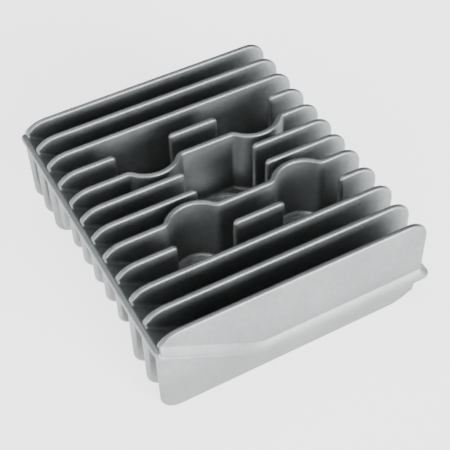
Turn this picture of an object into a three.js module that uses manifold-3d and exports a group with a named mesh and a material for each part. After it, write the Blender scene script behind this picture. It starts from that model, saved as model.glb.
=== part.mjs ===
// Air-cooled cylinder head of a small two-stroke engine, drawn in millimetres, +Z up.
// X runs along the cooling fins, Y across them, and Z = 0 is the gasket plane.
// The origin is the middle of the footprint at that plane.
// The head is one die casting. It is drawn as the regions that a casting drawing names: a cranked
// deck, upper and lower fins, the chamber boss under the deck, and the plug and stud seats.

import * as THREE from 'three';
import { mergeVertices } from 'three/addons/utils/BufferGeometryUtils.js';
import Module from 'manifold-3d';

// ---- Driving dimensions -------------------------------------------------------------------------

// Overall sizes
const headLength = 104;           // tip to tip of the deck, X
const headHeight = 38.7;          // gasket plane to the fin tips, Z

// Fins: six pairs, counted from the rear (+Y) to the front (-Y)
const innerPitch = 9.2;           // between the six middle fins' neighbours
const outerPitch = 10;            // between the others
const finTip = 2.0;               // thickness at the free edge
const lowerFinTip = 2.3;          // the fins under the deck are a little thicker at the edge
const finDraft = THREE.MathUtils.degToRad(1);
const tipChamfer = 0.45;          // both sides of every free edge
const upperLeadIn = 10;           // length of the curve at the raised end
const upperEndRadius = 8;         // top corner at the low end
const stubCornerRadius = 1.8;     // top corners beside the pockets
const lowerEndRadius = 12;        // bottom corner at the low end
const outerHeelRadius = 7;        // bottom corner of the long lower fins at the raised end
const innerHeelRadius = 5.5;      // the same corner on the short lower fins
const innerFinLift = 0.8;         // the short lower fins' edge above the deck's flat underside
const innerFinDepth = 2;          // what is left of them under the ramp where they end

// Deck: a flat floor that climbs as a ramp to the raised end
const deckThickness = 3.0;
const deckFloor = 12.9;           // top of the flat part, above the gasket plane
const deckRaised = 33.3;          // top of the ramp where the upper fins start
const rampAngle = THREE.MathUtils.degToRad(31);
const bendRadius = 15;            // inside the bend between ramp and floor
const tipToUpperFin = 2.5;        // raised tip to the start of the upper fins
const tipToLowerFin = 1.0;        // raised tip to the lower fins
const lowEndInset = 3.1;          // low tip back to the fin ends
const lipOverhang = 1.75;         // deck edge proud of the outermost fins' faces

// Bore, plug and studs
const boreOffset = 2.5;           // bore axis from the middle of the length
const studSpacing = 40.5;         // square pattern
const studHoleRadius = 3.6;       // clearance for an M7 stud
const studPocketRadius = 10.0;    // room for a nut and its socket
const studSeatRim = 1.7;          // seat ring outside its machined spot face
const stubGapRamp = 10.35;        // stud axis to the fin stubs, studs nearer the ramp
const stubGapFar = 10.95;         // the same, studs at the low end
const waveBlendRadius = 3.0;      // where a waved fin leaves its straight line
const plugBoreRadius = 6.9;       // core of an M14 thread
const plugPocketHalf = 13.4;      // plug axis to the fin ends either side
const plugSeatRise = 0.6;         // seat ring above the deck floor
const plugSeatRim = 1.35;         // seat ring outside the machined face for the plug's washer
const spotDepth = 0.4;            // depth of every spot face
const studSeatRise = 0.3;         // stud seat ring above the deck floor
const studSeatSink = 0.5;         // the same ring, let into the top of the chamber boss
const seatClearance = 0.3;        // between a seat ring and the deck around it
const plugSeatGap = 0.5;          // between the plug seat ring and the nearest fins beside it
const pocketWall = 1.8;           // casting round a stud pocket, below the deck
const chamberRadius = 19.5;       // combustion chamber, open at the gasket plane
const chamberDepth = 3.2;
const chamberEdgeRadius = 2.6;    // between its roof and its wall

// ---- Sizes worked out from them -----------------------------------------------------------------

const finRoot = finTip + 2 * (headHeight - deckFloor) * Math.tan(finDraft);
const leftTip = -headLength / 2;
const rightTip = headLength / 2;
const upperStart = leftTip + tipToUpperFin;
const lowerStart = leftTip + tipToLowerFin;
const finEnd = rightTip - lowEndInset;
const noseRadius = deckThickness / 2;
const deckUnder = deckFloor - deckThickness;
const waveFinY = 1.5 * innerPitch;
const finY = [0.5 * innerPitch, waveFinY, waveFinY + outerPitch, waveFinY + 2 * outerPitch,
  waveFinY + 3 * outerPitch, waveFinY + 4 * outerPitch];
const deckHalfWidth = finY[5] + finRoot / 2 + lipOverhang;
const studX = [boreOffset - studSpacing / 2, boreOffset + studSpacing / 2];
const studY = studSpacing / 2;
const stubGap = [stubGapRamp, stubGapFar];
const bendCentre = new THREE.Vector2(
  upperStart + (deckRaised - deckFloor) / Math.tan(rampAngle) + bendRadius * Math.tan(rampAngle / 2),
  deckFloor + bendRadius);
const plugSeatRadius = Math.min(waveFinY - finRoot / 2, plugPocketHalf) - plugSeatGap;
const studSeatRadius = studPocketRadius - seatClearance;
const bossCorner = studPocketRadius + pocketWall;
const bossHalf = studY + bossCorner;
const bossLeft = boreOffset - bossHalf;
const innerFinBottom = deckUnder + innerFinLift;
const studSeatFoot = deckUnder - studSeatSink;
const overcut = 1;                // how far a cutting body runs past the body it cuts
const waveSteps = 84;             // facets along a waved fin

// ---- Solids -------------------------------------------------------------------------------------

const wasm = await Module();
wasm.setup();

function toSolid(geometry) {
  const bare = geometry.clone();
  bare.deleteAttribute('normal');
  bare.deleteAttribute('uv');
  const merged = mergeVertices(bare);
  return new wasm.Manifold(new wasm.Mesh({
    numProp: 3,
    vertProperties: merged.attributes.position.array,
    triVerts: new Uint32Array(merged.index.array),
  }));
}

function toGeometry(solid) {
  const mesh = solid.getMesh();
  const geometry = new THREE.BufferGeometry();
  geometry.setAttribute('position', new THREE.BufferAttribute(new Float32Array(mesh.vertProperties), 3));
  geometry.setIndex(new THREE.BufferAttribute(new Uint32Array(mesh.triVerts), 1));
  geometry.computeVertexNormals();
  return geometry;
}

// A side view outline in X and Z, as thick as the span from yLow to yHigh.
function sideSlab(outline, yLow, yHigh) {
  const geometry = new THREE.ExtrudeGeometry(outline, {
    depth: yHigh - yLow, bevelEnabled: false, curveSegments: 4,
  });
  return toSolid(geometry.rotateX(Math.PI / 2).translate(0, yHigh, 0));
}

// A plan outline in X and Y, from zLow to zHigh.
function planSlab(outline, zLow, zHigh) {
  const geometry = new THREE.ExtrudeGeometry(outline, {
    depth: zHigh - zLow, bevelEnabled: false, curveSegments: 6,
  });
  return toSolid(geometry.translate(0, 0, zLow));
}

function upright(radius, zLow, zHigh, x, y, sides = 32) {
  const geometry = new THREE.CylinderGeometry(radius, radius, zHigh - zLow, sides);
  return toSolid(geometry.rotateX(Math.PI / 2).translate(x, y, (zLow + zHigh) / 2));
}

// A body turned about an upright axis. The profile is [radius, height] pairs, and either starts and
// ends on the axis or goes round a ring's section.
function turned(profile, x, y, sides = 32) {
  const points = profile.map(([radius, height]) => new THREE.Vector2(radius, height));
  if (points[0].x > 0) {
    points.push(points[0].clone());
  }
  return toSolid(new THREE.LatheGeometry(points, sides).rotateX(Math.PI / 2).translate(x, y, 0));
}

// ---- The deck's two surfaces, seen from the side ------------------------------------------------

// A line of points from the raised end to the low end, `depth` below the deck's top surface.
function deckLine(depth) {
  const bendSteps = 5;
  const radius = bendRadius + depth;
  const points = [];
  for (let step = 0; step <= bendSteps; step += 1) {
    const angle = 1.5 * Math.PI - rampAngle * (1 - step / bendSteps);
    points.push(new THREE.Vector2(radius * Math.cos(angle), radius * Math.sin(angle)).add(bendCentre));
  }
  const ramp = new THREE.Vector2(-Math.cos(rampAngle), Math.sin(rampAngle));
  const climb = (points[0].x - leftTip + overcut) / Math.cos(rampAngle);
  points.unshift(points[0].clone().addScaledVector(ramp, climb));
  points.push(new THREE.Vector2(rightTip + overcut, deckFloor - depth));
  return points;
}

// The stretch of such a line between two X values, with a point made at each end.
function stretch(line, xLow, xHigh) {
  const heightAt = (x) => {
    const next = line.findIndex((point) => point.x >= x);
    const [a, b] = [line[next - 1], line[next]];
    return a.y + (b.y - a.y) * (x - a.x) / (b.x - a.x);
  };
  const inner = line.filter((point) => point.x > xLow && point.x < xHigh);
  return [new THREE.Vector2(xLow, heightAt(xLow)), ...inner, new THREE.Vector2(xHigh, heightAt(xHigh))];
}

const deckTop = deckLine(0);
const deckBottom = deckLine(deckThickness);

function deckOutline() {
  const middle = deckLine(noseRadius);
  const raised = stretch(middle, leftTip + noseRadius, rightTip - noseRadius)[0];
  const normal = Math.PI / 2 - rampAngle;
  const noseX = noseRadius * Math.cos(normal);
  const top = stretch(deckTop, raised.x + noseX, rightTip - noseRadius);
  const bottom = stretch(deckBottom, raised.x - noseX, rightTip - noseRadius);
  const outline = new THREE.Shape();
  outline.moveTo(bottom[0].x, bottom[0].y);
  bottom.slice(1).forEach((point) => outline.lineTo(point.x, point.y));
  outline.absarc(rightTip - noseRadius, deckFloor - noseRadius, noseRadius, -Math.PI / 2, Math.PI / 2);
  top.reverse().slice(1).forEach((point) => outline.lineTo(point.x, point.y));
  outline.absarc(raised.x, raised.y, noseRadius, normal, normal + Math.PI);
  return outline;
}

function deckPlate() {
  let deck = sideSlab(deckOutline(), -deckHalfWidth, deckHalfWidth);
  const plugHole = plugSeatRadius + seatClearance;
  deck = deck.subtract(upright(plugHole, deckUnder - overcut, deckFloor + overcut, boreOffset, 0));
  for (const x of studX) {
    for (const y of [-studY, studY]) {
      deck = deck.subtract(upright(studPocketRadius, deckUnder - overcut, headHeight, x, y));
    }
  }
  return deck;
}

// ---- Fins ---------------------------------------------------------------------------------------

// A fin thickens by its draft from the free edge to the foot. The section is drawn with its first
// coordinate pointing down, as a sweep along +X lays it.
function finSection(tip, edge, foot) {
  const side = Math.sign(edge - foot);
  const shoulder = edge - side * tipChamfer;
  const footHalf = tip / 2 + Math.abs(edge - foot) * Math.tan(finDraft);
  const half = [[footHalf, foot], [tip / 2, shoulder], [tip / 2 - tipChamfer, edge]];
  const mirrored = half.map(([y, z]) => [-y, z]).reverse();
  return new THREE.Shape([...half, ...mirrored].map(([y, z]) => new THREE.Vector2(-z, y)));
}

function sweep(section, path, steps) {
  return toSolid(new THREE.ExtrudeGeometry(section, { steps, extrudePath: path, bevelEnabled: false }));
}

const upperSection = finSection(finTip, headHeight, deckFloor - overcut);
const lowerOuterSection = finSection(lowerFinTip, 0, deckRaised + overcut);
const lowerInnerSection = finSection(lowerFinTip, innerFinBottom, deckRaised + overcut);

function straightPath(y) {
  return new THREE.LineCurve3(
    new THREE.Vector3(leftTip - overcut, y, 0), new THREE.Vector3(rightTip + overcut, y, 0));
}

// A waved fin dips towards the bore round each stud pocket. sign is +1 behind the bore, -1 in front.
class WavePath extends THREE.Curve {
  constructor(sign) {
    super();
    this.sign = sign;
    this.flat = new THREE.Path();
    const wallRadius = studPocketRadius + finRoot / 2;
    const reach = wallRadius + waveBlendRadius;
    const drop = studY - waveFinY + waveBlendRadius;
    const blendX = Math.sqrt(reach * reach - drop * drop);
    const turn = Math.atan2(blendX, drop);
    const blendY = waveFinY - waveBlendRadius;
    this.flat.moveTo(leftTip - overcut, waveFinY);
    for (const x of studX) {
      this.flat.lineTo(x - blendX, waveFinY);
      this.flat.absarc(x - blendX, blendY, waveBlendRadius, Math.PI / 2, Math.PI / 2 - turn, true);
      this.flat.absarc(x, studY, wallRadius, 1.5 * Math.PI - turn, 1.5 * Math.PI + turn, false);
      this.flat.absarc(x + blendX, blendY, waveBlendRadius, Math.PI / 2 + turn, Math.PI / 2, true);
    }
    this.flat.lineTo(rightTip + overcut, waveFinY);
  }

  getPoint(t, target = new THREE.Vector3()) {
    const point = this.flat.getPoint(t);
    return target.set(point.x, this.sign * point.y, 0);
  }
}

// Side view of an upper fin from xLow to xHigh. An end that isn't an outer end stands beside a pocket.
function upperOutline(xLow, xHigh) {
  const foot = stretch(deckTop, xLow, xHigh);
  const outline = new THREE.Shape();
  outline.moveTo(foot[0].x, foot[0].y);
  if (xHigh === finEnd) {
    const flare = rightTip - noseRadius - finEnd;
    foot.slice(1, -1).forEach((point) => outline.lineTo(point.x, point.y));
    outline.lineTo(finEnd + flare, deckFloor);
    outline.absarc(finEnd + flare, deckFloor + flare, flare, -Math.PI / 2, -Math.PI, true);
    outline.absarc(finEnd - upperEndRadius, headHeight - upperEndRadius, upperEndRadius, 0, Math.PI / 2);
  } else {
    foot.slice(1).forEach((point) => outline.lineTo(point.x, point.y));
    outline.absarc(xHigh - stubCornerRadius, headHeight - stubCornerRadius, stubCornerRadius,
      0, Math.PI / 2);
  }
  if (xLow === upperStart) {
    const rise = headHeight - deckRaised;
    const radius = (upperLeadIn * upperLeadIn + rise * rise) / (2 * rise);
    const end = Math.PI / 2 + Math.asin(upperLeadIn / radius);
    outline.absarc(xLow + upperLeadIn, headHeight - radius, radius, Math.PI / 2, end);
  } else {
    outline.absarc(xLow + stubCornerRadius, headHeight - stubCornerRadius, stubCornerRadius,
      Math.PI / 2, Math.PI);
  }
  return outline;
}

function upperFin(y, xLow, xHigh) {
  const slab = sideSlab(upperOutline(xLow, xHigh), y - finRoot, y + finRoot);
  return sweep(upperSection, straightPath(y), 1).intersect(slab);
}

function wavedFin(sign) {
  const slab = sideSlab(upperOutline(upperStart, finEnd), -deckHalfWidth, deckHalfWidth);
  return sweep(upperSection, new WavePath(sign), waveSteps).intersect(slab);
}

// The three outer fins on each side run the whole length down to the gasket plane.
function outerLowerFin(y) {
  const drop = deckUnder - lowerEndRadius;
  const endX = finEnd - lowerEndRadius + Math.sqrt(lowerEndRadius ** 2 - drop ** 2);
  const under = stretch(deckBottom, lowerStart, endX).reverse();
  const outline = new THREE.Shape();
  outline.moveTo(lowerStart + outerHeelRadius, 0);
  outline.absarc(finEnd - lowerEndRadius, lowerEndRadius, lowerEndRadius,
    -Math.PI / 2, Math.asin(drop / lowerEndRadius));
  under.slice(1).forEach((point) => outline.lineTo(point.x, point.y));
  outline.absarc(lowerStart + outerHeelRadius, outerHeelRadius, outerHeelRadius, Math.PI, 1.5 * Math.PI);
  const slab = sideSlab(outline, y - finRoot, y + finRoot);
  return sweep(lowerOuterSection, straightPath(y), 1).intersect(slab);
}

// The six inner ones hang under the ramp only. They stop short of the chamber boss, or where the
// ramp comes down to their edge.
function innerLowerFin(y) {
  const rampDrop = deckRaised - deckThickness / Math.cos(rampAngle) - innerFinBottom - innerFinDepth;
  const endX = Math.min(bossLeft - seatClearance, upperStart + rampDrop / Math.tan(rampAngle));
  const under = stretch(deckBottom, lowerStart, endX).reverse();
  const outline = new THREE.Shape();
  outline.moveTo(endX, innerFinBottom);
  under.forEach((point) => outline.lineTo(point.x, point.y));
  outline.absarc(lowerStart + innerHeelRadius, innerFinBottom + innerHeelRadius, innerHeelRadius,
    Math.PI, 1.5 * Math.PI);
  const slab = sideSlab(outline, y - finRoot, y + finRoot);
  return sweep(lowerInnerSection, straightPath(y), 1).intersect(slab);
}

// ---- Chamber boss and seats ---------------------------------------------------------------------

function roundedSquare(halfX, halfY, radius, x) {
  const outline = new THREE.Shape();
  outline.absarc(x + halfX - radius, halfY - radius, radius, 0, Math.PI / 2);
  outline.absarc(x - halfX + radius, halfY - radius, radius, Math.PI / 2, Math.PI);
  outline.absarc(x - halfX + radius, -halfY + radius, radius, Math.PI, 1.5 * Math.PI);
  outline.absarc(x + halfX - radius, -halfY + radius, radius, 1.5 * Math.PI, 2 * Math.PI);
  return outline;
}

function chamberBoss() {
  const bossRight = boreOffset + bossHalf;
  const top = stretch(deckBottom, bossLeft - overcut, bossRight + overcut).reverse();
  const side = new THREE.Shape();
  side.moveTo(bossLeft - overcut, 0);
  side.lineTo(bossRight + overcut, 0);
  top.forEach((point) => side.lineTo(point.x, point.y));
  const plan = roundedSquare(bossHalf, bossHalf, bossCorner, boreOffset);
  let boss = sideSlab(side, -bossHalf - overcut, bossHalf + overcut);
  boss = boss.intersect(planSlab(plan, -overcut, headHeight));
  const wallTop = chamberDepth - chamberEdgeRadius;
  const chamber = [[0, -overcut], [chamberRadius, -overcut], [chamberRadius, wallTop]];
  const edgeSteps = 4;
  for (let step = 1; step <= edgeSteps; step += 1) {
    const angle = (Math.PI / 2) * (step / edgeSteps);
    const radius = chamberRadius - chamberEdgeRadius * (1 - Math.cos(angle));
    chamber.push([radius, wallTop + chamberEdgeRadius * Math.sin(angle)]);
  }
  chamber.push([0, chamberDepth]);
  boss = boss.subtract(turned(chamber, boreOffset, 0, 48));
  boss = boss.subtract(upright(plugBoreRadius, 0, headHeight, boreOffset, 0));
  for (const x of studX) {
    for (const y of [-studY, studY]) {
      boss = boss.subtract(upright(studPocketRadius, studSeatFoot, headHeight, x, y));
      boss = boss.subtract(upright(studHoleRadius, -overcut, headHeight, x, y));
    }
  }
  return boss;
}

// A ring that stands on the chamber boss, through the deck, with a spot face sunk in its top.
function seatRing(x, y, { outer, hole, spot, foot, rise }) {
  const top = deckFloor + rise;
  return turned([[hole, foot], [outer, foot], [outer, top], [spot, top],
    [spot, top - spotDepth], [hole, top - spotDepth]], x, y);
}

const plugSeat = {
  outer: plugSeatRadius, hole: plugBoreRadius, spot: plugSeatRadius - plugSeatRim, foot: deckUnder,
  rise: plugSeatRise,
};
const studSeat = {
  outer: studSeatRadius, hole: studHoleRadius, spot: studSeatRadius - studSeatRim, foot: studSeatFoot,
  rise: studSeatRise,
};

// ---- Finishes and assembly ----------------------------------------------------------------------

const castAluminium = { color: 0xb4b9bd, roughness: 0.55, metalness: 0.75 };
const machinedAluminium = { color: 0xc9ccce, roughness: 0.35, metalness: 0.9 };

const head = new THREE.Group();

function place(name, solid, finish) {
  const mesh = new THREE.Mesh(toGeometry(solid), new THREE.MeshStandardMaterial(finish));
  mesh.name = name;
  head.add(mesh);
}

// Upper fins beside the pockets are broken into stubs; these are the X spans that stay.
function upperSpans(rank) {
  if (rank === 0) {
    return { left: [upperStart, boreOffset - plugPocketHalf], right: [boreOffset + plugPocketHalf, finEnd] };
  }
  if (rank === 2) {
    return {
      left: [upperStart, studX[0] - stubGap[0]],
      middle: [studX[0] + stubGap[0], studX[1] - stubGap[1]],
      right: [studX[1] + stubGap[1], finEnd],
    };
  }
  return { whole: [upperStart, finEnd] };
}

function twoDigits(number) {
  return String(number).padStart(2, '0');
}

place('deck_plate', deckPlate(), castAluminium);
place('chamber_boss', chamberBoss(), castAluminium);
place('plug_seat', seatRing(boreOffset, 0, plugSeat), machinedAluminium);

const studPlaces = { ramp: studX[0], far: studX[1] };
for (const [side, sign] of [['rear', 1], ['front', -1]]) {
  for (const [end, x] of Object.entries(studPlaces)) {
    place(`stud_seat_${side}_${end}`, seatRing(x, sign * studY, studSeat), machinedAluminium);
  }
}

finY.forEach((y, rank) => {
  for (const sign of [1, -1]) {
    const number = twoDigits(sign > 0 ? finY.length - rank : finY.length + 1 + rank);
    if (rank === 1) {
      place(`upper_fin_${number}`, wavedFin(sign), castAluminium);
    } else {
      for (const [part, [xLow, xHigh]] of Object.entries(upperSpans(rank))) {
        const suffix = part === 'whole' ? '' : `_${part}`;
        place(`upper_fin_${number}${suffix}`, upperFin(sign * y, xLow, xHigh), castAluminium);
      }
    }
    const lower = rank < 3 ? innerLowerFin(sign * y) : outerLowerFin(sign * y);
    place(`lower_fin_${number}`, lower, castAluminium);
  }
});

export default head;
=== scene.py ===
"""Looks of a small air-cooled engine's die-cast cylinder head, one detailed mesh for each region."""
import math

import bmesh
import bpy
import numpy as np
from mathutils import Matrix, Vector


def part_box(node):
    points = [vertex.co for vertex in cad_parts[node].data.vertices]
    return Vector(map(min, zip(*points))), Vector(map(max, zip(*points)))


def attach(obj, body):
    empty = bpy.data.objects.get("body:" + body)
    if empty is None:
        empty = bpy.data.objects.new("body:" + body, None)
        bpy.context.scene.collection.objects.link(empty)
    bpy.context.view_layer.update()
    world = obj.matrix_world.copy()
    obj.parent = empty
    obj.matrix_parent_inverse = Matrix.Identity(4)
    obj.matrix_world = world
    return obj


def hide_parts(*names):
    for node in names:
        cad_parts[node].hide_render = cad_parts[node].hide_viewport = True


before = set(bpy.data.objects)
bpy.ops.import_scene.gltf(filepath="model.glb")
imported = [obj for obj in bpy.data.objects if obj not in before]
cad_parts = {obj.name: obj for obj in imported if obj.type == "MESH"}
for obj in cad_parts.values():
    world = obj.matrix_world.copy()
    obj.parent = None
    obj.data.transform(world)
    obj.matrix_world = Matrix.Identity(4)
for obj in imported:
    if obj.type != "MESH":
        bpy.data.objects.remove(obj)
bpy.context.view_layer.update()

MM = 0.001

# ---- Places, read from the frame, in millimetres --------------------------------------------------


def corners(node):
    low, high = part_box(node)
    return np.array(low) / MM, np.array(high) / MM


def middle(node):
    low, high = corners(node)
    return (low + high) / 2


deck_low, deck_high = corners("deck_plate")
boss_low, boss_high = corners("chamber_boss")
whole_low, whole_high = corners("upper_fin_03")
fin_top = whole_high[2]
upper_start = whole_low[0]
low_tip = deck_high[0]
raised_tip = deck_low[0]
deck_half_width = deck_high[1]
bore_x = middle("plug_seat")[0]
stud_ramp_x = middle("stud_seat_rear_ramp")[0]
stud_far_x = middle("stud_seat_rear_far")[0]
stud_y = middle("stud_seat_rear_ramp")[1]
stud_axes = [(x, y) for x in (stud_ramp_x, stud_far_x) for y in (stud_y, -stud_y)]

# ---- Sizes of the casting, in millimetres ---------------------------------------------------------

deck_thick = 3.0
deck_floor = 12.9
ramp_angle = math.radians(31)
bend_radius = 15.0
deck_corner = 3.0
edge_radius = 1.1
edge_stations = 9
station_gap = 0.8
fin_end = low_tip - 3.1
toe_inset = 0.14
fin_tip = 2.0
lower_fin_tip = 2.3
fin_draft = math.radians(1)
root_fillet = 1.3
pocket_radius = 10.0
wave_blend = 3.0
plug_core = 6.9
stud_hole = 3.6
stud_seat_top = 13.2
plug_seat_top = 13.5
spot_depth = 0.4
seat_foot = 9.4
plug_seat_foot = 9.9
plug_seat_radius = 12.0
boss_edge_radius = 1.0
chamber_radius = 19.5
chamber_depth = 3.2
chamber_bevel = 0.35
chamber_roof_radius = 2.6
outer_pitch = 10.0
wave_y = middle("upper_fin_04_left")[1] - outer_pitch
fin_root = fin_tip + 2 * (fin_top - deck_floor) * math.tan(fin_draft)
wave_wall = pocket_radius + fin_root / 2


# ---- The deck's surfaces --------------------------------------------------------------------------


class DeckLine:
    """The deck seen from the side: a ramp, a bend and a flat floor, at any depth under its top."""

    def __init__(self):
        self.slope = math.tan(ramp_angle)
        run = (fin_top - 5.4 - deck_floor) / self.slope
        self.bend_x = upper_start + run + bend_radius * math.tan(ramp_angle / 2)
        self.bend_z = deck_floor + bend_radius

    def height(self, x, depth=0.0):
        x = np.asarray(x, float)
        radius = bend_radius + depth
        reach = np.clip(self.bend_x - x, 0, radius * math.sin(ramp_angle))
        curve = self.bend_z - np.sqrt(radius * radius - reach * reach)
        ramp_x = self.bend_x - radius * math.sin(ramp_angle)
        return curve + np.clip(ramp_x - x, 0, None) * self.slope

    def lean(self, x):
        """Rise of the surface per millimetre towards the raised end."""
        x = np.asarray(x, float)
        reach = np.clip(self.bend_x - x, 0, bend_radius * math.sin(ramp_angle))
        return reach / np.sqrt(bend_radius ** 2 - reach ** 2)


deck_line = DeckLine()


def rim_rise(inset, up, rounded=0.0):
    """How far the deck's top (up = 1) or underside (up = -1) stands off its middle, near its edge.

    The edge is a blunt point low on the deck: a bevel comes down to it, a round goes under it.
    Where rounded is 1, as along the raised end, the edge is fully rounded instead.
    """
    half = deck_thick / 2
    full = np.sqrt(half ** 2 - np.clip(half - inset, 0, half) ** 2)
    drop = half - edge_radius
    short = np.clip(edge_radius - inset, 0, edge_radius)
    arc = np.sqrt(edge_radius ** 2 - short ** 2)
    if up < 0:
        return rounded * full + (1 - rounded) * (drop + arc)
    turn = math.sqrt(0.5)
    bevel = edge_radius * turn + inset - edge_radius * (1 - turn)
    point = np.minimum(half, np.where(inset < edge_radius * (1 - turn), arc, bevel) - drop)
    return rounded * full + (1 - rounded) * point


def deck_profile():
    """Stations along the deck's middle line, and how far each one is in from the nearer end."""
    nose = deck_thick / 2
    ease = 1 - np.cos(np.linspace(0, math.pi / 2, edge_stations))
    raised = raised_tip + nose
    start_x = [raised - math.cos(ramp_angle) * nose * (1 - s) for s in ease]
    inner_x = list(np.arange(raised + station_gap, low_tip - nose, station_gap))
    end_x = [low_tip - nose + nose * (1 - s) for s in ease[::-1]]
    inset = [nose * s for s in ease] + [nose] * len(inner_x) + [low_tip - x for x in end_x]
    return np.array(start_x + inner_x + end_x), np.array(inset)


def deck_normals(centre_x):
    nose = deck_thick / 2
    radius = bend_radius + nose
    reach = np.clip(deck_line.bend_x - centre_x, 0, radius * math.sin(ramp_angle))
    angle = np.arcsin(reach / radius)
    return np.stack([np.sin(angle), np.cos(angle)], axis=1)


def deck_side_curves():
    centre_x, inset = deck_profile()
    nose = deck_thick / 2
    centre_z = deck_line.height(centre_x, nose)
    normal = deck_normals(centre_x)
    centre = np.stack([centre_x, centre_z], axis=1)
    rounded = np.where(centre_x < 0, 1.0, 0.0)
    return [centre + up * normal * rim_rise(inset, up, rounded)[:, None] for up in (1, -1)]


top_curve, under_curve = deck_side_curves()


def deck_surface(x, y, up):
    """Height of the deck's top (up = 1) or underside (up = -1), with its rounded rim."""
    curve = top_curve if up > 0 else under_curve
    order = np.argsort(curve[:, 0], kind="stable")
    height = np.interp(x, curve[order, 0], curve[order, 1])
    rim = rim_rise(deck_half_width - np.abs(y), up) - deck_thick / 2
    return height + up * rim * np.sqrt(1 + deck_line.lean(x) ** 2)


# ---- Meshes ---------------------------------------------------------------------------------------


def object_from(name, points, faces):
    """A closed mesh with its doubled points merged, faces outwards, smooth except at sharp edges."""
    mesh = bpy.data.meshes.new(name)
    mesh.from_pydata((np.asarray(points) * MM).tolist(), [], faces)
    piece = bpy.data.objects.new(name, mesh)
    bpy.context.scene.collection.objects.link(piece)
    tidy(piece)
    return piece


def tidy(piece, merge=2e-6):
    work = bmesh.new()
    work.from_mesh(piece.data)
    bmesh.ops.remove_doubles(work, verts=work.verts, dist=merge)
    bmesh.ops.dissolve_degenerate(work, edges=work.edges, dist=1e-7)
    bmesh.ops.recalc_face_normals(work, faces=work.faces)
    if work.calc_volume(signed=True) < 0:
        bmesh.ops.reverse_faces(work, faces=work.faces)
    work.to_mesh(piece.data)
    work.free()
    piece.data.shade_smooth()
    piece.data.set_sharp_from_angle(angle=math.radians(38))


def turned_ring(name, x, y, profile, sides=96):
    """A closed ring, turned about an upright axis from its section's [radius, height] points."""
    angle = np.linspace(0, 2 * math.pi, sides, endpoint=False)
    rows = [np.stack([x + r * np.cos(angle), y + r * np.sin(angle), np.full(sides, z)], axis=1)
            for r, z in profile]
    points = np.concatenate(rows)
    faces = []
    for row in range(len(profile)):
        after = (row + 1) % len(profile)
        for side in range(sides):
            over = (side + 1) % sides
            faces.append((row * sides + side, row * sides + over, after * sides + over,
                          after * sides + side))
    return object_from(name, points, faces)


def cutter(name, radius, x, y, low, high, sides=96):
    work = bmesh.new()
    centred = Matrix.Translation(Vector((x, y, (low + high) / 2)) * MM)
    bmesh.ops.create_cone(work, cap_ends=True, segments=sides, radius1=radius * MM,
                          radius2=radius * MM, depth=(high - low) * MM, matrix=centred)
    mesh = bpy.data.meshes.new(name)
    work.to_mesh(mesh)
    work.free()
    drill = bpy.data.objects.new(name, mesh)
    bpy.context.scene.collection.objects.link(drill)
    return drill


def finished(piece):
    """The piece's mesh with its modifiers worked in and taken off."""
    graph = bpy.context.evaluated_depsgraph_get()
    mesh = bpy.data.meshes.new_from_object(piece.evaluated_get(graph), depsgraph=graph)
    piece.modifiers.clear()
    old = piece.data
    piece.data = mesh
    bpy.data.meshes.remove(old)
    return piece


def drill_out(piece, drills):
    for drill in drills:
        cut = piece.modifiers.new("bore", "BOOLEAN")
        cut.operation = "DIFFERENCE"
        cut.solver = "EXACT"
        cut.object = drill
    finished(piece)
    for drill in drills:
        bpy.data.objects.remove(drill)
    tidy(piece)
    return piece


# ---- Deck -----------------------------------------------------------------------------------------


def deck_piece():
    nose = deck_thick / 2
    ease = 1 - np.cos(np.linspace(0, math.pi / 2, edge_stations))
    across = np.concatenate([-deck_half_width + nose * ease,
                             np.arange(-deck_half_width + nose + 0.9, deck_half_width - nose, 0.9),
                             (deck_half_width - nose * ease)[::-1]])
    centre_x, inset_x = deck_profile()
    inset_y = deck_half_width - np.abs(across)
    along, side = np.meshgrid(centre_x, across, indexing="ij")
    inset = np.minimum(inset_x[:, None], inset_y[None, :])
    rounded = np.clip(inset_y[None, :] - inset_x[:, None] + 0.5, 0, 1)
    rounded = np.where(along < 0, rounded, 0.0).ravel()
    for end, sign in ((centre_x[0], -1), (centre_x[-1], 1)):
        x_in = deck_corner - np.abs(along - end)
        y_in = deck_corner - (deck_half_width - np.abs(side))
        x_in = np.where(np.abs(along - end) <= deck_corner, x_in, -1)
        corner = (x_in > 0) & (y_in > 0)
        size = np.hypot(x_in, y_in)
        most = np.maximum(x_in, y_in)
        scale = np.where(corner, most / np.where(size == 0, 1, size), 1)
        moved_x = end - sign * (deck_corner - x_in * scale)
        moved_y = np.sign(side) * (deck_half_width - deck_corner + y_in * scale)
        along = np.where(corner, moved_x, along)
        side = np.where(corner, moved_y, side)
        inset = np.where(corner, deck_corner - most, inset)
    flat_x = along.ravel()
    centre = np.stack([flat_x, deck_line.height(flat_x, nose)], axis=1)
    normal = deck_normals(flat_x)
    rows, columns = along.shape
    points = []
    for up in (1, -1):
        surface = centre + up * normal * rim_rise(inset.ravel(), up, rounded)[:, None]
        points.append(np.stack([surface[:, 0], side.ravel(), surface[:, 1]], axis=1))
    index = np.arange(rows * columns).reshape(rows, columns)
    quads = np.stack([index[:-1, :-1], index[1:, :-1], index[1:, 1:], index[:-1, 1:]], axis=-1)
    quads = quads.reshape(-1, 4)
    faces = quads.tolist() + (quads[:, ::-1] + rows * columns).tolist()
    deck = object_from("deck", np.concatenate(points), faces)
    drills = [cutter("plug opening", plug_seat_radius, bore_x, 0, 5, 20)]
    drills += [cutter("stud pocket", pocket_radius, x, y, 5, 40) for x, y in stud_axes]
    return drill_out(deck, drills)


# ---- Fins -----------------------------------------------------------------------------------------

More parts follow.
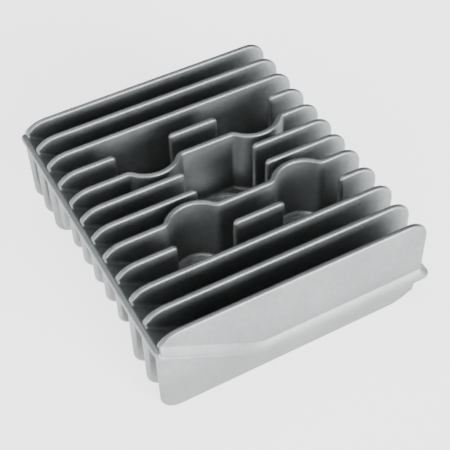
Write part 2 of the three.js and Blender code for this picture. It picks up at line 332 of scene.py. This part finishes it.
# How a fin's mesh is laid out, in millimetres unless they are counts or shares
edge_roundness = 0.97
spine_clearance = 0.15
cap_fade = 5
cap_columns = 11
side_rungs = 9
rung_crowding = 1.15
foot_spread = 6.0
rim_clearance = 0.02
foot_sink = 0.03
key_inset = 0.3
key_depth = 0.5


def arc_points(centre, radius, start, stop, count):
    angle = np.radians(np.linspace(start, stop, count))
    out = np.stack([np.cos(angle), np.sin(angle)], axis=1)
    return np.array(centre) + radius * out, out


def run_points(start, stop, out, spacing):
    start, stop = np.array(start, float), np.array(stop, float)
    count = max(2, int(round(np.linalg.norm(stop - start) / spacing)) + 1)
    share = np.linspace(0, 1, count)[:, None]
    return start + (stop - start) * share, np.repeat([out], count, axis=0).astype(float)


def joined(parts):
    points = np.concatenate([p for p, _ in parts])
    outs = np.concatenate([o for _, o in parts])
    keep = np.ones(len(points), bool)
    keep[1:] = np.linalg.norm(np.diff(points, axis=0), axis=1) > 0.02
    return points[keep], outs[keep]


def round_root(radius, rows=9):
    """A plain quarter-round root: how far it spreads and how high it stands, from top to foot."""
    turn = np.linspace(0, math.pi / 2, rows)
    return np.stack([radius * (1 - np.cos(turn)), radius * (1 - np.sin(turn))], axis=1)


plain_root = round_root(root_fillet)
tight_root = round_root(0.5)
# Roots as [spread, rise] points. The outermost fins run out into a bead along the deck's edge:
# lip_sweep comes down to its crisp lower line, under_sweep comes up to it from the lower fin
lip_sweep = np.array([(0, 2.05), (0.03, 1.86), (0.14, 1.66), (0.46, 1.22), (0.82, 0.64),
                      (1.16, -0.02), (1.46, -0.72), (1.68, -1.42), (1.76, -2.02)])
under_sweep = np.array([(0, 5.8), (0.08, 4.6), (0.22, 3.3), (0.42, 2.1), (0.64, 1.1),
                        (0.84, 0.3), (0.98, -0.25), (1.06, -0.55), (1.66, -0.92)])
low_end_sweep = np.array([(0, 2.15), (0.07, 1.80), (0.28, 1.45), (0.72, 1.00), (1.20, 0.52),
                          (1.68, 0.04), (2.14, -0.42), (2.56, -0.86), (2.86, -1.24)])
raised_end_root = np.array([(0, 0.55), (0.02, 0.35), (0.04, 0.15), (0.06, -0.05), (0.08, -0.25),
                            (0.09, -0.45), (0.10, -0.65), (0.11, -0.88), (0.12, -1.10)])
end_roots = {"lead": raised_end_root, "low": low_end_sweep, "stub": plain_root, "nut": tight_root,
             "heel": tight_root, "short": tight_root, "under": tight_root, "cut": tight_root}


class WavePath:
    """Plan line of a waved fin: straight, but dipping towards the bore round both stud pockets."""

    def __init__(self):
        reach = wave_wall + wave_blend
        drop = stud_y - wave_y + wave_blend
        self.blend_x = math.sqrt(reach * reach - drop * drop)
        self.turn = math.atan2(self.blend_x, drop)
        line = [np.array([[raised_tip, wave_y]])]
        for x in (stud_ramp_x, stud_far_x):
            low = wave_y - wave_blend
            turn = math.degrees(self.turn)
            line.append(arc_points((x - self.blend_x, low), wave_blend, 90, 90 - turn, 40)[0])
            line.append(arc_points((x, stud_y), wave_wall, 270 - turn, 270 + turn, 160)[0])
            line.append(arc_points((x + self.blend_x, low), wave_blend, 90 + turn, 90, 40)[0])
        line.append(np.array([[low_tip, wave_y]]))
        self.line = np.concatenate(line)
        gap = np.linalg.norm(np.diff(self.line, axis=0), axis=1)
        self.length = raised_tip + np.concatenate([[0], np.cumsum(gap)])

    def x_at(self, along):
        return np.interp(along, self.length, self.line[:, 0])

    def along_at(self, x):
        return np.interp(x, self.line[:, 0], self.length)


wave_path = WavePath()


def free_edge(x_low, x_high, low_kind, high_kind, edge, base):
    """Edge of a fin from foot to foot, with its outward directions, as if the fin stood up."""
    parts = []
    if low_kind == "lead":
        rise = edge - base(x_low)
        radius = (100 + rise * rise) / (2 * rise)
        start = 90 + math.degrees(math.asin(10 / radius))
        parts.append(arc_points((x_low + 10, edge - radius), radius, start, 90, 24))
        first = x_low + 10
    else:
        corner = {"stub": 1.8, "nut": 1.8, "heel": 7.0, "short": 5.5}[low_kind]
        parts.append(run_points((x_low, base(x_low)), (x_low, edge - corner), (-1, 0), 1.0))
        parts.append(arc_points((x_low + corner, edge - corner), corner, 180, 90, 12))
        first = x_low + corner
    corner = {"stub": 1.8, "nut": 1.8, "low": 8.0, "under": 12.0, "cut": 0.9}[high_kind]
    last = x_high - corner
    parts.append(run_points((first, edge), (last, edge), (0, 1), 0.8))
    if high_kind == "under":
        drop = edge - base(x_high) - corner
        stop = math.degrees(math.asin(max(-0.95, min(0.95, -drop / corner)))) if drop < 0 else 0
        parts.append(arc_points((last, edge - corner), corner, 90, max(stop, 4), 18))
    else:
        parts.append(arc_points((last, edge - corner), corner, 90, 0, 14))
        parts.append(run_points((x_high, edge - corner), (x_high, base(x_high)), (1, 0), 1.0))
    return joined(parts)


def fin_piece(name, line_y, span, kinds, under=False, wave=0, roots=(plain_root, plain_root),
              edge=None):
    """One fin. The mesh is made upright along X at its own line, then bent if the fin is waved.

    Heights grow away from the deck, so a fin under the deck is made upside down and turned over.
    """
    up = -1 if under else 1
    tip = lower_fin_tip if under else fin_tip
    edge_height = up * (fin_top if edge is None else edge)
    flip = -1 if wave < 0 else 1

    def ground(along):
        x = wave_path.x_at(along) if wave else np.asarray(along, float)
        return up * deck_line.height(x, 0 if up > 0 else deck_thick)

    def lean(along):
        x = wave_path.x_at(along) if wave else np.asarray(along, float)
        return np.sqrt(1 + deck_line.lean(x) ** 2)

    def base(along):
        return float(ground(along))

    def half_width(height):
        return tip / 2 + (edge_height - height) * math.tan(fin_draft)

    low, high = span
    if wave:
        low, high = float(wave_path.along_at(low)), float(wave_path.along_at(high))
    points, outs = free_edge(low, high, kinds[0], kinds[1], edge_height, base)
    root_front, root_back = roots
    root_low, root_high = end_roots[kinds[0]], end_roots[kinds[1]]
    inset = half_width(points[:, 1]) * edge_roundness
    spine = points - outs * inset[:, None]
    rise_mid = (root_front[0, 1] + root_back[0, 1]) / 2
    lift = ground(spine[:, 0]) + rise_mid * lean(spine[:, 0])
    inside = spine[:, 1] > lift + spine_clearance
    first, last = np.argmax(inside), len(inside) - np.argmax(inside[::-1]) - 1
    keep = slice(first, last + 1)
    spine, outs, inset = spine[keep], outs[keep], inset[keep]
    count = len(spine)
    theta = np.linspace(90, -90, cap_columns)
    cos, sin = np.cos(np.radians(theta)), np.sin(np.radians(theta))
    width = half_width(spine[:, 1])
    strip_x = spine[:, 0, None] + outs[:, 0, None] * inset[:, None] * cos
    strip_z = spine[:, 1, None] + outs[:, 1, None] * inset[:, None] * cos
    strip_y = width[:, None] * sin

    def cap_root(end_root):
        """The root round a fin's end, for every direction of its cap."""
        side = np.where((sin > 0)[:, None, None], root_front, root_back)
        share = (sin ** 2)[:, None, None]
        return end_root * (1 - share) + side * share

    cap_low, cap_high = cap_root(root_low), cap_root(root_high)
    travel = np.concatenate([[0], np.cumsum(np.linalg.norm(np.diff(spine, axis=0), axis=1))])
    for end, cap in ((0, cap_low), (count - 1, cap_high)):
        target = ground(strip_x[end]) + cap[:, 0, 1] * lean(strip_x[end])
        miss = target - strip_z[end]
        fade = np.clip(1 - np.abs(travel - travel[end]) / cap_fade, 0, 1) ** 2
        strip_z += miss[None, :] * fade[:, None]
    strip_y = half_width(strip_z) * sin
    # Foot line under every station, spread out near the ends
    foot_x = spine[:, 0].copy()
    spread = min(foot_spread, 0.3 * (foot_x[-1] - foot_x[0]))
    left = np.searchsorted(foot_x[:count // 2], foot_x[0] + spread)
    if kinds[0] != "lead":
        foot_x[:left + 1] = np.linspace(foot_x[0], foot_x[left], left + 1)
    tail = count - 1 - np.searchsorted(-foot_x[::-1][:count // 2], -(foot_x[-1] - spread))
    foot_x[tail:] = np.linspace(foot_x[tail], foot_x[-1], count - tail)
    foot_x[0], foot_x[-1] = spine[0, 0], spine[-1, 0]
    share = np.linspace(0, 1, side_rungs) ** rung_crowding
    verts, faces = [], []

    def add(x, y, z):
        start = len(verts)
        verts.extend(np.stack(np.broadcast_arrays(x, y, z), axis=1).tolist())
        return np.arange(start, len(verts))

    def skin(one, two):
        faces.extend(np.stack([one[:-1], one[1:], two[1:], two[:-1]], axis=1).tolist())

    strip = [add(strip_x[i], strip_y[i], strip_z[i]) for i in range(count)]
    for i in range(count - 1):
        skin(strip[i], strip[i + 1])
    strip = np.array(strip)
    feet = []
    for column, side, side_rise in ((0, 1, root_front[0, 1]), (-1, -1, root_back[0, 1])):
        top_x, top_z = strip_x[:, column], strip_z[:, column]
        foot_z = ground(foot_x) + side_rise * lean(foot_x)
        foot_z[[0, -1]] = top_z[[0, -1]]
        rung_rows = []
        for s in share[:-1]:
            x = foot_x + (top_x - foot_x) * s
            z = foot_z + (top_z - foot_z) * s
            rung_rows.append(add(x, side * half_width(z), z))
        rung_rows.append(strip[:, column])
        for lower, upper in zip(rung_rows, rung_rows[1:]):
            skin(lower, upper)
        feet.append(rung_rows[0])
    front, back = feet
    loop = np.concatenate([front, strip[-1, 1:-1], back[::-1], strip[0, 1:-1][::-1]])
    loop_points = np.array([verts[i] for i in loop])
    caps = len(theta) - 2
    ones, cap_cos, cap_sin = np.ones(count), cos[1:-1], sin[1:-1]
    out_x = np.concatenate([0 * ones, cap_cos, 0 * ones, -cap_cos[::-1]])
    out_y = np.concatenate([ones, cap_sin, -ones, cap_sin[::-1]])
    loop_root = np.concatenate([np.repeat(root_front[None], count, axis=0), cap_high[1:-1],
                                np.repeat(root_back[None], count, axis=0), cap_low[1:-1][::-1]])
    # Nothing may spread past the deck's own edge
    room = deck_half_width - rim_clearance - np.abs(loop_points[:, 1] + line_y * (not wave))
    widest = np.abs(out_y) * loop_root[:, -1, 0]
    loop_root[:, :, 0] *= np.clip(room / np.maximum(widest, 0.01), 0, 1)[:, None]
    rows = [loop]
    for step in range(1, len(plain_root)):
        x = loop_points[:, 0] + out_x * loop_root[:, step, 0]
        y = loop_points[:, 1] + out_y * loop_root[:, step, 0]
        rise = loop_root[:, step, 1] * lean(x)
        plan_x = wave_path.x_at(x) if wave else x
        bed = up * deck_surface(plan_x, plan_x * 0, up)
        z = np.minimum(ground(x) + rise, bed + np.maximum(rise, 0))
        last = step == len(plain_root) - 1
        rows.append(add(x, y, z - foot_sink * last))
    last_row = np.array([verts[i] for i in rows[-1]])
    sunk_x = last_row[:, 0] - out_x * key_inset
    sunk_y = last_row[:, 1] - out_y * key_inset
    rows.append(add(sunk_x, sunk_y, last_row[:, 2] - key_depth))
    for lower, upper in zip(rows, rows[1:]):
        skin(np.append(lower, lower[0]), np.append(upper, upper[0]))
    floor_row = rows[-1]
    floor_front = floor_row[:count]
    floor_back = floor_row[count + caps:2 * count + caps][::-1]
    skin(floor_front, floor_back)
    faces.append(np.concatenate([floor_row[count - 1:count + caps + 1]]).tolist())
    faces.append(np.concatenate([floor_row[2 * count + caps - 1:], floor_row[:1]]).tolist())
    points = np.array(verts)
    if wave:
        piece = object_from(name, points * [1, 1, up], faces)
        bend_fin(piece, flip)
        tidy(piece)
    else:
        points[:, 1] += line_y
        points = clear_of_pockets(points, up) if not under else points
        piece = object_from(name, points * [1, 1, up], faces)
    return piece


def clear_of_pockets(points, up):
    for x, y in stud_axes:
        off = points[:, :2] - [x, y]
        far = np.linalg.norm(off, axis=1)
        near = far < pocket_radius
        points[near, :2] = [x, y] + off[near] * (pocket_radius / far[near])[:, None]
    return points


# ---- Node trees -----------------------------------------------------------------------------------


class Wire:
    """A node socket that Python's own signs work on."""

    def __init__(self, tree, socket):
        self.tree = tree
        self.socket = socket

    def math(self, operation, *others):
        inputs = dict(enumerate((self,) + others))
        return self.tree.add("ShaderNodeMath", {"operation": operation}, inputs)[0]

    def flipped(self, operation, other):
        return self.tree.add("ShaderNodeMath", {"operation": operation}, {0: other, 1: self})[0]

    def __add__(self, other):
        return self.math("ADD", other)

    def __radd__(self, other):
        return self.math("ADD", other)

    def __sub__(self, other):
        return self.math("SUBTRACT", other)

    def __rsub__(self, other):
        return self.flipped("SUBTRACT", other)

    def __mul__(self, other):
        return self.math("MULTIPLY", other)

    def __rmul__(self, other):
        return self.math("MULTIPLY", other)

    def __truediv__(self, other):
        return self.math("DIVIDE", other)

    def __rtruediv__(self, other):
        return self.flipped("DIVIDE", other)

    def __neg__(self):
        return self.math("MULTIPLY", -1)

    def between(self, low, high):
        """0 at low and 1 at high, smooth in between."""
        node = self.tree.add("ShaderNodeMapRange", {"interpolation_type": "SMOOTHSTEP"},
                             {"Value": self, "From Min": low, "From Max": high})
        return node[0]


class Outputs:
    def __init__(self, tree, node):
        self.tree = tree
        self.node = node

    def __getitem__(self, key):
        return Wire(self.tree, self.node.outputs[key])


class Tree:
    """Adds nodes to a shader or geometry tree: type, then settings, then inputs."""

    def __init__(self, nodes):
        self.tree = nodes

    def add(self, kind, settings=None, inputs=None):
        node = self.tree.nodes.new(kind)
        for key, value in (settings or {}).items():
            if key == "stops":
                self.set_stops(node.color_ramp, value)
            else:
                setattr(node, key, value)
        for key, value in (inputs or {}).items():
            if isinstance(value, Wire):
                self.tree.links.new(value.socket, node.inputs[key])
            else:
                node.inputs[key].default_value = value
        return Outputs(self, node)

    @staticmethod
    def set_stops(ramp, stops):
        while len(ramp.elements) < len(stops):
            ramp.elements.new(0.5)
        for element, (place, colour) in zip(ramp.elements, stops):
            element.position = place
            element.color = colour


# ---- A waved fin follows its line round the stud pockets -------------------------------------------


def wave_tree():
    group = bpy.data.node_groups.new("fin round stud pockets", "GeometryNodeTree")
    face = group.interface
    face.new_socket("Geometry", in_out="INPUT", socket_type="NodeSocketGeometry")
    for name in ("Start X", "End X", "Fin Line", "Wall Radius", "Blend Radius", "Stud Y",
                 "Ramp Stud X", "Far Stud X", "Side"):
        face.new_socket(name, in_out="INPUT", socket_type="NodeSocketFloat")
    face.new_socket("Finish", in_out="INPUT", socket_type="NodeSocketMaterial")
    face.new_socket("Geometry", in_out="OUTPUT", socket_type="NodeSocketGeometry")
    tree = Tree(group)
    given = tree.add("NodeGroupInput")
    blend, wall = given["Blend Radius"], given["Wall Radius"]
    drop = given["Stud Y"] - given["Fin Line"] + blend
    turn = (drop / (wall + blend)).math("ARCCOSINE")
    # Corners of the line before it is rounded: beside and under each stud
    half_turn = (turn * 0.5).math("TANGENT")
    side_step = (wall + blend) * turn.math("SINE") - blend * half_turn
    deep = given["Stud Y"] - wall / turn.math("COSINE")
    line = given["Fin Line"]
    start, end = given["Start X"], given["End X"]
    places = [(start, line)]
    for stud in (given["Ramp Stud X"], given["Far Stud X"]):
        places += [(stud - side_step, line), (stud, deep), (stud + side_step, line)]
    places.append((end, line))
    index = tree.add("GeometryNodeInputIndex")[0]
    count = len(places)
    corner_at = index_switch(tree, "VECTOR", index, [
        tree.add("ShaderNodeCombineXYZ", None, {"X": x, "Y": y})[0] for x, y in places])
    radius_at = index_switch(tree, "FLOAT", index, [0.0, blend, wall, blend, blend, wall, blend, 0.0])
    dots = tree.add("GeometryNodeMeshLine", {"mode": "OFFSET"}, {"Count": count})["Mesh"]
    dots = tree.add("GeometryNodeSetPosition", None, {"Geometry": dots, "Position": corner_at})[0]
    curve = tree.add("GeometryNodeMeshToCurve", None, {"Mesh": dots})[0]
    rounded = tree.add("GeometryNodeFilletCurve", {"mode": "POLY"},
                       {"Curve": curve, "Radius": radius_at, "Count": 48, "Limit Radius": False})[0]
    here = tree.add("ShaderNodeSeparateXYZ", None, {0: tree.add("GeometryNodeInputPosition")[0]})
    sample = tree.add("GeometryNodeSampleCurve", {"mode": "LENGTH", "use_all_curves": True},
                      {"Curves": rounded, "Length": here["X"] - start})
    on_line = tree.add("ShaderNodeSeparateXYZ", None, {0: sample["Position"]})
    heading = tree.add("ShaderNodeSeparateXYZ", None, {0: sample["Tangent"]})
    x = on_line["X"] - here["Y"] * heading["Y"]
    y = (on_line["Y"] + here["Y"] * heading["X"]) * given["Side"]
    moved = tree.add("GeometryNodeSetPosition", None, {
        "Geometry": given["Geometry"],
        "Position": tree.add("ShaderNodeCombineXYZ", None, {"X": x, "Y": y, "Z": here["Z"]})[0]})[0]
    real = tree.add("GeometryNodeRealizeInstances", None, {"Geometry": moved})[0]
    dressed = tree.add("GeometryNodeSetMaterial", None,
                       {"Geometry": real, "Material": given["Finish"]})[0]
    tree.add("NodeGroupOutput", None, {"Geometry": dressed})
    return group


def index_switch(tree, data, index, values):
    out = tree.add("GeometryNodeIndexSwitch", {"data_type": data})
    node = out.node
    while len(node.index_switch_items) < len(values):
        node.index_switch_items.new()
    tree.tree.links.new(index.socket, node.inputs[0])
    for number, value in enumerate(values):
        socket = node.inputs[number + 1]
        if isinstance(value, Wire):
            tree.tree.links.new(value.socket, socket)
        else:
            socket.default_value = value
    return out[0]


def run_tree(piece, group, values):
    """Runs a geometry tree on a piece and keeps the plain mesh that it makes."""
    work = piece.modifiers.new(group.name, "NODES")
    work.node_group = group
    sockets = {item.name: item.identifier for item in group.interface.items_tree
               if item.in_out == "INPUT"}
    for name, value in values.items():
        work[sockets[name]] = value
    return finished(piece)


# ---- Finishes -------------------------------------------------------------------------------------


def finish_material(name):
    material = bpy.data.materials.new(name)
    material.use_nodes = True
    material.node_tree.nodes.clear()
    return material, Tree(material.node_tree)


def cast_aluminium():
    material, tree = finish_material("cast aluminium")
    where = tree.add("ShaderNodeTexCoord")["Object"]
    split = tree.add("ShaderNodeSeparateXYZ", None, {0: where})

    def noise(scale, detail=3.0, rough=0.55):
        return tree.add("ShaderNodeTexNoise", None, {
            "Vector": where, "Scale": scale, "Detail": detail, "Roughness": rough})[0]

    clouds = noise(60, 4)
    grain = noise(1400, 3, 0.6)
    skin = noise(380, 4, 0.6)
    pits = noise(900, 2, 0.5).between(0.66, 0.78)
    tone = clouds * 0.6 + skin * 0.4
    colour = tree.add("ShaderNodeValToRGB", {"stops": [
        (0.30, (0.232, 0.246, 0.250, 1)),
        (0.52, (0.282, 0.296, 0.300, 1)),
        (0.72, (0.340, 0.352, 0.355, 1))]}, {0: tone})[0]
    # Painted shade: the base colour turns darker and warmer towards the deck, below about 22 mm up,
    # where the gaps between the fins lie in shade
    deep = 1 - split["Z"].between(0.012, 0.022)
    colour = tree.add("ShaderNodeMix", {"data_type": "RGBA"}, {
        0: deep * 0.35, 6: colour, 7: (0.19, 0.18, 0.168, 1)})[2]
    colour = tree.add("ShaderNodeMix", {"data_type": "RGBA"}, {
        0: pits * 0.5, 6: colour, 7: (0.15, 0.15, 0.152, 1)})[2]
    rough = 0.40 + grain * 0.14 + clouds * 0.08
    height = grain * 0.35 + skin * 0.8 - pits * 0.6
    bump = tree.add("ShaderNodeBump", None, {
        "Strength": 0.35, "Distance": 0.00022, "Height": height})[0]
    shader = tree.add("ShaderNodeBsdfPrincipled", None, {
        "Base Color": colour, "Roughness": rough, "Metallic": 1.0, "Normal": bump})[0]
    tree.add("ShaderNodeOutputMaterial", None, {"Surface": shader})
    return material


def turned_aluminium():
    material, tree = finish_material("turned aluminium")
    where = tree.add("ShaderNodeTexCoord")["Object"]
    split = tree.add("ShaderNodeSeparateXYZ", None, {0: where})
    nearest = None
    for x, y in stud_axes + [(bore_x, 0.0)]:
        off_x = split["X"] - x * MM
        off_y = split["Y"] - y * MM
        away = (off_x * off_x + off_y * off_y).math("SQRT")
        nearest = away if nearest is None else nearest.math("MINIMUM", away)
    grooves = (nearest * (2 * math.pi / 0.00022)).math("SINE") * 0.5 + 0.5
    patches = tree.add("ShaderNodeTexNoise", None, {
        "Vector": where, "Scale": 420.0, "Detail": 4.0, "Roughness": 0.6})[0]
    colour = tree.add("ShaderNodeValToRGB", {"stops": [
        (0.32, (0.46, 0.465, 0.47, 1)),
        (0.50, (0.66, 0.665, 0.67, 1)),
        (0.68, (0.80, 0.80, 0.805, 1))]}, {0: patches})[0]
    rough = 0.26 + patches * 0.22
    height = grooves * 0.5 + patches * 0.8
    bump = tree.add("ShaderNodeBump", None, {
        "Strength": 0.3, "Distance": 0.00012, "Height": height})[0]
    shader = tree.add("ShaderNodeBsdfPrincipled", None, {
        "Base Color": colour, "Roughness": rough, "Metallic": 0.95, "Normal": bump})[0]
    tree.add("ShaderNodeOutputMaterial", None, {"Surface": shader})
    return material


cast = cast_aluminium()
turned = turned_aluminium()
fin_wave = wave_tree()


def bend_fin(piece, side):
    run_tree(piece, fin_wave, {
        "Start X": raised_tip * MM, "End X": low_tip * MM, "Fin Line": wave_y * MM,
        "Wall Radius": wave_wall * MM, "Blend Radius": wave_blend * MM, "Stud Y": stud_y * MM,
        "Ramp Stud X": stud_ramp_x * MM, "Far Stud X": stud_far_x * MM, "Side": float(side),
        "Finish": cast})
    coords = np.empty(len(piece.data.vertices) * 3)
    piece.data.vertices.foreach_get("co", coords)
    points = clear_of_pockets(coords.reshape(-1, 3) / MM, 1)
    piece.data.vertices.foreach_set("co", (points * MM).ravel())


def place(piece, node, material, slot):
    piece.data.materials.clear()
    piece.data.materials.append(material)
    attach(piece, "root")
    if node:
        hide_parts(node)


# ---- Chamber boss and seats -------------------------------------------------------------------------


def rounded_outline(half_x, half_y, radius, count):
    """Points round a rounded square at equal turns about its middle."""
    angle = np.linspace(0, 2 * math.pi, count, endpoint=False)
    ray = np.stack([np.cos(angle), np.sin(angle)], axis=1)
    flat = np.minimum(half_x / np.maximum(np.abs(ray[:, 0]), 1e-9),
                      half_y / np.maximum(np.abs(ray[:, 1]), 1e-9))
    core = np.array([half_x - radius, half_y - radius])
    along = np.abs(ray) @ core
    inside = np.maximum(radius ** 2 - core @ core + along ** 2, 0)
    corner = along + np.sqrt(inside)
    spot = np.abs(ray) * corner[:, None]
    on_corner = (spot[:, 0] >= core[0]) & (spot[:, 1] >= core[1])
    return ray * np.where(on_corner, corner, flat)[:, None]


def boss_piece():
    count = 192
    half = (boss_high - boss_low)[:2] / 2
    radius = pocket_radius + 1.8
    angle = np.linspace(0, 2 * math.pi, count, endpoint=False)
    circle = np.stack([np.cos(angle), np.sin(angle)], axis=1)

    def outline(inset):
        return rounded_outline(half[0] - inset, half[1] - inset, radius - inset, count)

    def under(plan):
        return deck_surface(plan[:, 0] + bore_x, plan[:, 1] * 0, -1) + 0.3

    loops = []
    rim = outline(0)
    loops.append((rim, under(rim)))
    for share in (0.35, 0.7):
        loops.append((rim, under(rim) * (1 - share) + boss_edge_radius * share))
    edge = boss_edge_radius
    for turn in np.radians([0, 25, 50, 70, 90]):
        ring = outline(edge * (1 - math.cos(turn)))
        loops.append((ring, np.full(count, edge * (1 - math.sin(turn)))))
    inner = outline(edge)
    for share in (0.25, 0.5, 0.75):
        ring = inner + (circle * (chamber_radius + chamber_bevel) - inner) * share
        loops.append((ring, np.zeros(count)))
    roof = chamber_roof_radius
    profile = [(chamber_radius + chamber_bevel, 0), (chamber_radius, chamber_bevel)]
    wall = chamber_depth - roof
    for turn in np.radians([0, 20, 40, 60, 75, 90]):
        profile.append((chamber_radius - roof * (1 - math.cos(turn)), wall + roof * math.sin(turn)))
    lead_in = 0.9
    profile += [(12.0, chamber_depth), (plug_core + lead_in, chamber_depth),
                (plug_core, chamber_depth + lead_in), (plug_core, 6.0), (plug_core, 10.2)]
    loops += [(circle * r, np.full(count, float(z))) for r, z in profile]
    for share in (0.2, 0.4, 0.6, 0.8):
        ring = circle * plug_core + (rim - circle * plug_core) * share
        loops.append((ring, under(ring)))
    points = np.concatenate([np.column_stack([plan[:, 0] + bore_x, plan[:, 1], z])
                             for plan, z in loops])
    faces = []
    for row in range(len(loops)):
        after = (row + 1) % len(loops)
        for side in range(count):
            over = (side + 1) % count
            faces.append((row * count + side, row * count + over, after * count + over,
                          after * count + side))
    boss = object_from("chamber_block", points, faces)
    drills = []
    for x, y in stud_axes:
        drills.append(cutter("stud pocket", pocket_radius, x, y, seat_foot, 40))
        drills.append(cutter("stud hole", stud_hole, x, y, -3, 12))
    return drill_out(boss, drills)


def seat_profile(hole, spot, outer, foot, top, wall, rise):
    """Section of a seat: spot face, land round it and a fillet that climbs to the wall."""
    floor = top - spot_depth
    section = [(hole, foot), (hole, floor - 0.5), (hole + 0.5, floor), (spot - 0.15, floor),
               (spot, floor + 0.12), (spot, top - 0.1), (spot + 0.12, top)]
    if wall > outer:
        section.append((wall - rise, top))
        for turn in np.radians([30, 60, 90]):
            section.append((wall - rise + rise * math.sin(turn), top + rise * (1 - math.cos(turn))))
        section += [(wall, top - 0.6), (wall, foot + 0.2), (wall - 0.3, foot)]
    else:
        section += [(outer - 0.35, top), (outer, top - 0.35), (outer, foot)]
    return section


place(deck_piece(), "deck_plate", cast, "cast_aluminium")
place(boss_piece(), "chamber_boss", cast, "cast_aluminium")

plug_section = seat_profile(plug_core, 10.5, plug_seat_radius, plug_seat_foot, plug_seat_top, 0, 0)
place(turned_ring("plug_seat_ring", bore_x, 0, plug_section), "plug_seat", turned,
      "machined_aluminium")
for node, title in (("stud_seat_rear_ramp", "stud_land_rear_ramp"),
                    ("stud_seat_rear_far", "stud_land_rear_far"),
                    ("stud_seat_front_ramp", "stud_land_front_ramp"),
                    ("stud_seat_front_far", "stud_land_front_far")):
    x, y, _ = middle(node)
    section = seat_profile(stud_hole, 8.0, 9.7, seat_foot, stud_seat_top, pocket_radius, 0.7)
    seat = turned_ring(title, x, y, section)
    place(seat, node, turned, "machined_aluminium")

# ---- Upper and lower fins ---------------------------------------------------------------------------


def side_roots(number, sweep):
    """Roots on a fin's rear (+Y) and front (-Y) faces; the outermost fins sweep into the lip."""
    rear = sweep if number == 1 else plain_root
    front = sweep if number == 12 else plain_root
    return rear, front


for number in range(1, 13):
    label = f"{number:02d}"
    whole = f"upper_fin_{label}"
    parts = [node for node in sorted(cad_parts) if node.startswith(whole)]
    for node in parts:
        low, high = corners(node)
        x_low, x_high = low[0], high[0]
        kinds = ["nut", "nut"] if number in (4, 9) else ["stub", "stub"]
        if abs(x_low - upper_start) < 0.3:
            x_low, kinds[0] = raised_tip + toe_inset, "lead"
        if x_high > fin_end - 0.3:
            x_high, kinds[1] = fin_end, "low"
        line = (low[1] + high[1]) / 2
        wave = 0
        if number in (5, 8):
            wave = 1 if number == 5 else -1
            line = wave_y
        title = node.replace("upper_fin", "top_fin")
        fin = fin_piece(title, line, (x_low, x_high), kinds, wave=wave,
                        roots=side_roots(number, lip_sweep))
        place(fin, node, cast, "cast_aluminium")
    node = f"lower_fin_{label}"
    low, high = corners(node)
    line = (low[1] + high[1]) / 2
    if number in (1, 2, 3, 10, 11, 12):
        kinds, edge, x_high = ("heel", "under"), 0.0, fin_end
    else:
        kinds, edge, x_high = ("short", "cut"), low[2], high[0]
    fin = fin_piece(f"under_fin_{label}", line, (low[0], x_high), kinds, under=True, edge=edge,
                    roots=side_roots(number, under_sweep))
    place(fin, node, cast, "cast_aluminium")

# ---- Floor, light and camera ------------------------------------------------------------------------


def floor_piece():
    work = bmesh.new()
    bmesh.ops.create_grid(work, x_segments=8, y_segments=8, size=3.0,
                          matrix=Matrix.Translation((0, 0, -0.0002)))
    mesh = bpy.data.meshes.new("floor")
    work.to_mesh(mesh)
    work.free()
    floor = bpy.data.objects.new("floor", mesh)
    bpy.context.scene.collection.objects.link(floor)
    material, tree = finish_material("pale floor")
    where = tree.add("ShaderNodeTexCoord")["Object"]
    drift = tree.add("ShaderNodeTexNoise", None, {"Vector": where, "Scale": 3.0})[0]
    shader = tree.add("ShaderNodeBsdfPrincipled", None, {
        "Base Color": (0.93, 0.93, 0.93, 1), "Roughness": 0.7 + drift * 0.1,
        "Emission Color": (1, 1, 1, 1), "Emission Strength": 2.2})[0]
    tree.add("ShaderNodeOutputMaterial", None, {"Surface": shader})
    mesh.materials.append(material)


floor_piece()

world = bpy.data.worlds.new("studio")
bpy.context.scene.world = world
world.use_nodes = True
world.node_tree.nodes.clear()
sky = Tree(world.node_tree)
facing = sky.add("ShaderNodeTexCoord")["Generated"]
lit_side = sky.add("ShaderNodeVectorMath", {"operation": "DOT_PRODUCT"}, {
    0: facing, 1: (-0.55, -0.78, 0.30)})["Value"]
height = sky.add("ShaderNodeSeparateXYZ", None, {0: facing})["Z"]
level = 0.06 + lit_side.between(-0.3, 0.9) * (1 - height.between(0.25, 0.8)) * 4.2
glow = sky.add("ShaderNodeBackground", None, {"Color": (0.97, 0.985, 1.0, 1), "Strength": level})[0]
sky.add("ShaderNodeOutputWorld", None, {"Surface": glow})


def softbox(name, place, aim, size, power, colour=(1, 1, 1)):
    lamp = bpy.data.lights.new(name, "AREA")
    lamp.shape = "RECTANGLE"
    lamp.size, lamp.size_y = size
    lamp.energy = power
    lamp.color = colour
    box = bpy.data.objects.new(name, lamp)
    bpy.context.scene.collection.objects.link(box)
    box.location = place
    box.rotation_euler = (Vector(place) - Vector(aim)).to_track_quat("Z", "Y").to_euler()


softbox("overhead softbox", (-0.15, 0.25, 0.9), (0, 0, 0.02), (0.8, 0.8), 5)
softbox("front softbox", (0.38, -1.1, 0.34), (0, 0, 0.02), (0.7, 0.35), 20)

lens = bpy.data.cameras.new("camera")
lens.sensor_width = 36
lens.lens = 83.6808
lens.clip_start = 0.01
lens.clip_end = 20
camera = bpy.data.objects.new("camera", lens)
bpy.context.scene.collection.objects.link(camera)
right = Vector((0.87740019, -0.47942294, -0.01795976))
down = Vector((-0.36634339, -0.64534037, -0.67031958))
ahead = Vector((0.30977642, 0.59471796, -0.74185518))
turn = Matrix((right, -down, -ahead)).transposed()
camera.matrix_world = Matrix.Translation(Vector((-116.12, -226.52, 291.53)) * MM) @ turn.to_4x4()
bpy.context.scene.camera = camera
